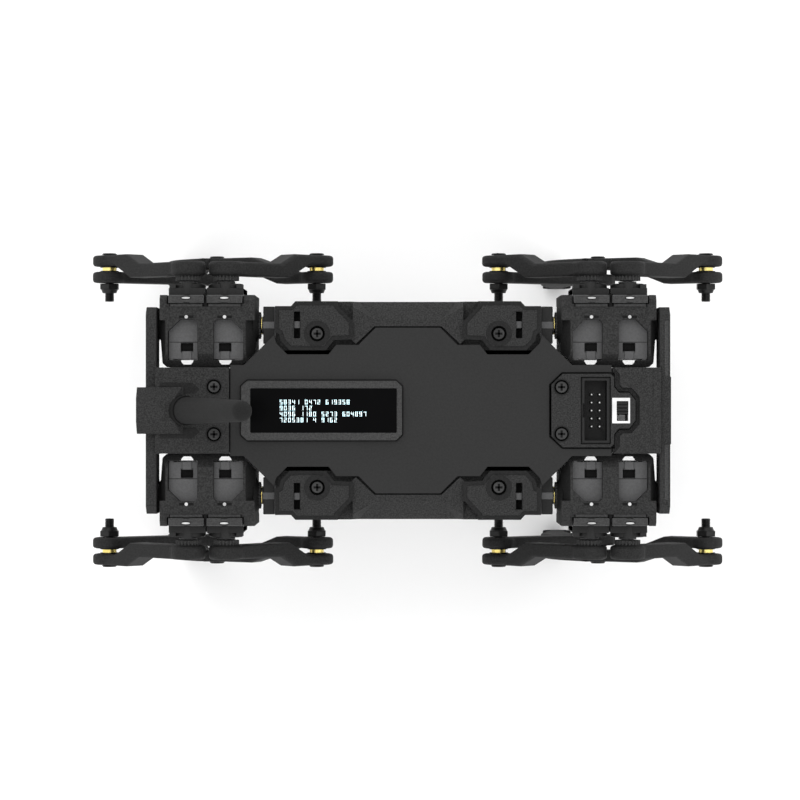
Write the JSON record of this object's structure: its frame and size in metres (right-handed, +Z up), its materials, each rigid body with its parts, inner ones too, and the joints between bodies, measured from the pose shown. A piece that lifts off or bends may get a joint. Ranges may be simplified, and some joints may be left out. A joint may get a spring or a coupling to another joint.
{
  "type": "quadruped walking robot",
  "caption": "Small walking robot dog with servo-driven linkage legs, a flat deck with a display, a power switch, a pin header and a stub aerial.",
  "frame": {"origin": "on the floor, below the middle of the robot as it stands", "axes": "+X forward, +Y to the robot's left, +Z up"},
  "size_m": [0.209, 0.104, 0.152],
  "materials": {
    "nylon": "grained",
    "smooth_plastic": "smooth",
    "servo_case": "satin",
    "black_steel": "blackened",
    "rubber": "matte",
    "display_glass": "gloss",
    "circuit_board": "solder mask",
    "cell_wrap": "shrink wrap",
    "black_plastic": "moulded",
    "grey_plastic": "moulded"
  },
  "bodies": {
    "body": {"chassis": "nylon", "top_plate": "smooth_plastic", "rear_end_piece": "nylon", "front_end_piece": "nylon", "connector_cover": "nylon", "expansion_header": "black_plastic", "power_switch": "black_plastic", "display_module": "display_glass", "main_board": "circuit_board", "battery_pack": "cell_wrap", "aerial": "rubber", "front_left_hip_servo": "servo_case", "front_right_hip_servo": "servo_case", "rear_left_hip_servo": "servo_case", "rear_right_hip_servo": "servo_case"},
    "slider": {"switch_slider": "grey_plastic"},
    "front_left_hip": {"front_left_hip_frame": "nylon", "front_left_servo_fore": "servo_case", "front_left_servo_aft": "servo_case"},
    "front_left_crank_fore": {"front_left_crank_fore": "nylon", "front_left_knee_bolt_fore": "black_steel"},
    "front_left_crank_aft": {"front_left_crank_aft": "nylon", "front_left_knee_bolt_aft": "black_steel"},
    "front_left_lower_leg": {"front_left_lower_leg": "nylon", "front_left_foot_pad": "rubber", "front_left_pivot_bolt": "black_steel"},
    "front_left_coupler": {"front_left_coupler": "nylon"},
    "front_right_hip": {"front_right_hip_frame": "nylon", "front_right_servo_fore": "servo_case", "front_right_servo_aft": "servo_case"},
    "front_right_crank_fore": {"front_right_crank_fore": "nylon", "front_right_knee_bolt_fore": "black_steel"},
    "front_right_crank_aft": {"front_right_crank_aft": "nylon", "front_right_knee_bolt_aft": "black_steel"},
    "front_right_lower_leg": {"front_right_lower_leg": "nylon", "front_right_foot_pad": "rubber", "front_right_pivot_bolt": "black_steel"},
    "front_right_coupler": {"front_right_coupler": "nylon"},
    "rear_left_hip": {"rear_left_hip_frame": "nylon", "rear_left_servo_fore": "servo_case", "rear_left_servo_aft": "servo_case"},
    "rear_left_crank_fore": {"rear_left_crank_fore": "nylon", "rear_left_knee_bolt_fore": "black_steel"},
    "rear_left_crank_aft": {"rear_left_crank_aft": "nylon", "rear_left_knee_bolt_aft": "black_steel"},
    "rear_left_lower_leg": {"rear_left_lower_leg": "nylon", "rear_left_foot_pad": "rubber", "rear_left_pivot_bolt": "black_steel"},
    "rear_left_coupler": {"rear_left_coupler": "nylon"},
    "rear_right_hip": {"rear_right_hip_frame": "nylon", "rear_right_servo_fore": "servo_case", "rear_right_servo_aft": "servo_case"},
    "rear_right_crank_fore": {"rear_right_crank_fore": "nylon", "rear_right_knee_bolt_fore": "black_steel"},
    "rear_right_crank_aft": {"rear_right_crank_aft": "nylon", "rear_right_knee_bolt_aft": "black_steel"},
    "rear_right_lower_leg": {"rear_right_lower_leg": "nylon", "rear_right_foot_pad": "rubber", "rear_right_pivot_bolt": "black_steel"},
    "rear_right_coupler": {"rear_right_coupler": "nylon"}
  },
  "joints": [
    {"name": "power_slide", "type": "slide", "parent": "body", "child": "slider", "axis": [0, -1, 0], "range_m": [0, 0.002]},
    {"name": "front_left_roll", "type": "hinge", "parent": "body", "child": "front_left_hip", "pos_m": [0.06457, 0.0273, 0.096], "axis": [1, 0, 0], "range_deg": [-20, 25]},
    {"name": "front_left_lift", "type": "hinge", "parent": "front_left_hip", "child": "front_left_crank_fore", "pos_m": [0.07067, 0.0456, 0.096], "axis": [0, 1, 0], "range_deg": [-8, 15]},
    {"name": "front_left_lift_aft", "type": "hinge", "parent": "front_left_hip", "child": "front_left_crank_aft", "pos_m": [0.05847, 0.0456, 0.096], "axis": [0, 1, 0], "range_deg": [-15.1, 8.1]},
    {"name": "front_left_knee_fore", "type": "hinge", "parent": "front_left_crank_fore", "child": "front_left_lower_leg", "pos_m": [0.09895, 0.0467, 0.06772], "axis": [0, 1, 0], "range_deg": [-34.6, 18.5]},
    {"name": "front_left_knee_aft", "type": "hinge", "parent": "front_left_crank_aft", "child": "front_left_coupler", "pos_m": [0.03019, 0.0467, 0.06772], "axis": [0, 1, 0], "range_deg": [-18.5, 34.6]},
    {"name": "front_right_roll", "type": "hinge", "parent": "body", "child": "front_right_hip", "pos_m": [0.06457, -0.0273, 0.096], "axis": [-1, 0, 0], "range_deg": [-20, 25]},
    {"name": "front_right_lift", "type": "hinge", "parent": "front_right_hip", "child": "front_right_crank_fore", "pos_m": [0.07067, -0.0456, 0.096], "axis": [0, 1, 0], "range_deg": [-8, 15]},
    {"name": "front_right_lift_aft", "type": "hinge", "parent": "front_right_hip", "child": "front_right_crank_aft", "pos_m": [0.05847, -0.0456, 0.096], "axis": [0, 1, 0], "range_deg": [-15.1, 8.1]},
    {"name": "front_right_knee_fore", "type": "hinge", "parent": "front_right_crank_fore", "child": "front_right_lower_leg", "pos_m": [0.09895, -0.0467, 0.06772], "axis": [0, 1, 0], "range_deg": [-34.6, 18.5]},
    {"name": "front_right_knee_aft", "type": "hinge", "parent": "front_right_crank_aft", "child": "front_right_coupler", "pos_m": [0.03019, -0.0467, 0.06772], "axis": [0, 1, 0], "range_deg": [-18.5, 34.6]},
    {"name": "rear_left_roll", "type": "hinge", "parent": "body", "child": "rear_left_hip", "pos_m": [-0.06457, 0.0273, 0.096], "axis": [1, 0, 0], "range_deg": [-20, 25]},
    {"name": "rear_left_lift", "type": "hinge", "parent": "rear_left_hip", "child": "rear_left_crank_fore", "pos_m": [-0.05847, 0.0456, 0.096], "axis": [0, 1, 0], "range_deg": [-8, 15]},
    {"name": "rear_left_lift_aft", "type": "hinge", "parent": "rear_left_hip", "child": "rear_left_crank_aft", "pos_m": [-0.07067, 0.0456, 0.096], "axis": [0, 1, 0], "range_deg": [-15.1, 8.1]},
    {"name": "rear_left_knee_fore", "type": "hinge", "parent": "rear_left_crank_fore", "child": "rear_left_lower_leg", "pos_m": [-0.03019, 0.0467, 0.06772], "axis": [0, 1, 0], "range_deg": [-34.6, 18.5]},
    {"name": "rear_left_knee_aft", "type": "hinge", "parent": "rear_left_crank_aft", "child": "rear_left_coupler", "pos_m": [-0.09895, 0.0467, 0.06772], "axis": [0, 1, 0], "range_deg": [-18.5, 34.6]},
    {"name": "rear_right_roll", "type": "hinge", "parent": "body", "child": "rear_right_hip", "pos_m": [-0.06457, -0.0273, 0.096], "axis": [-1, 0, 0], "range_deg": [-20, 25]},
    {"name": "rear_right_lift", "type": "hinge", "parent": "rear_right_hip", "child": "rear_right_crank_fore", "pos_m": [-0.05847, -0.0456, 0.096], "axis": [0, 1, 0], "range_deg": [-8, 15]},
    {"name": "rear_right_lift_aft", "type": "hinge", "parent": "rear_right_hip", "child": "rear_right_crank_aft", "pos_m": [-0.07067, -0.0456, 0.096], "axis": [0, 1, 0], "range_deg": [-15.1, 8.1]},
    {"name": "rear_right_knee_fore", "type": "hinge", "parent": "rear_right_crank_fore", "child": "rear_right_lower_leg", "pos_m": [-0.03019, -0.0467, 0.06772], "axis": [0, 1, 0], "range_deg": [-34.6, 18.5]},
    {"name": "rear_right_knee_aft", "type": "hinge", "parent": "rear_right_crank_aft", "child": "rear_right_coupler", "pos_m": [-0.09895, -0.0467, 0.06772], "axis": [0, 1, 0], "range_deg": [-18.5, 34.6]}
  ],
  "couplings": [
    {"joint": "front_left_lift_aft", "follows": "front_left_lift", "ratio": -1},
    {"joint": "front_left_knee_fore", "follows": "front_left_lift", "ratio": -2.3},
    {"joint": "front_left_knee_aft", "follows": "front_left_lift", "ratio": 2.3},
    {"joint": "front_right_lift_aft", "follows": "front_right_lift", "ratio": -1},
    {"joint": "front_right_knee_fore", "follows": "front_right_lift", "ratio": -2.3},
    {"joint": "front_right_knee_aft", "follows": "front_right_lift", "ratio": 2.3},
    {"joint": "rear_left_lift_aft", "follows": "rear_left_lift", "ratio": -1},
    {"joint": "rear_left_knee_fore", "follows": "rear_left_lift", "ratio": -2.3},
    {"joint": "rear_left_knee_aft", "follows": "rear_left_lift", "ratio": 2.3},
    {"joint": "rear_right_lift_aft", "follows": "rear_right_lift", "ratio": -1},
    {"joint": "rear_right_knee_fore", "follows": "rear_right_lift", "ratio": -2.3},
    {"joint": "rear_right_knee_aft", "follows": "rear_right_lift", "ratio": 2.3}
  ]
}
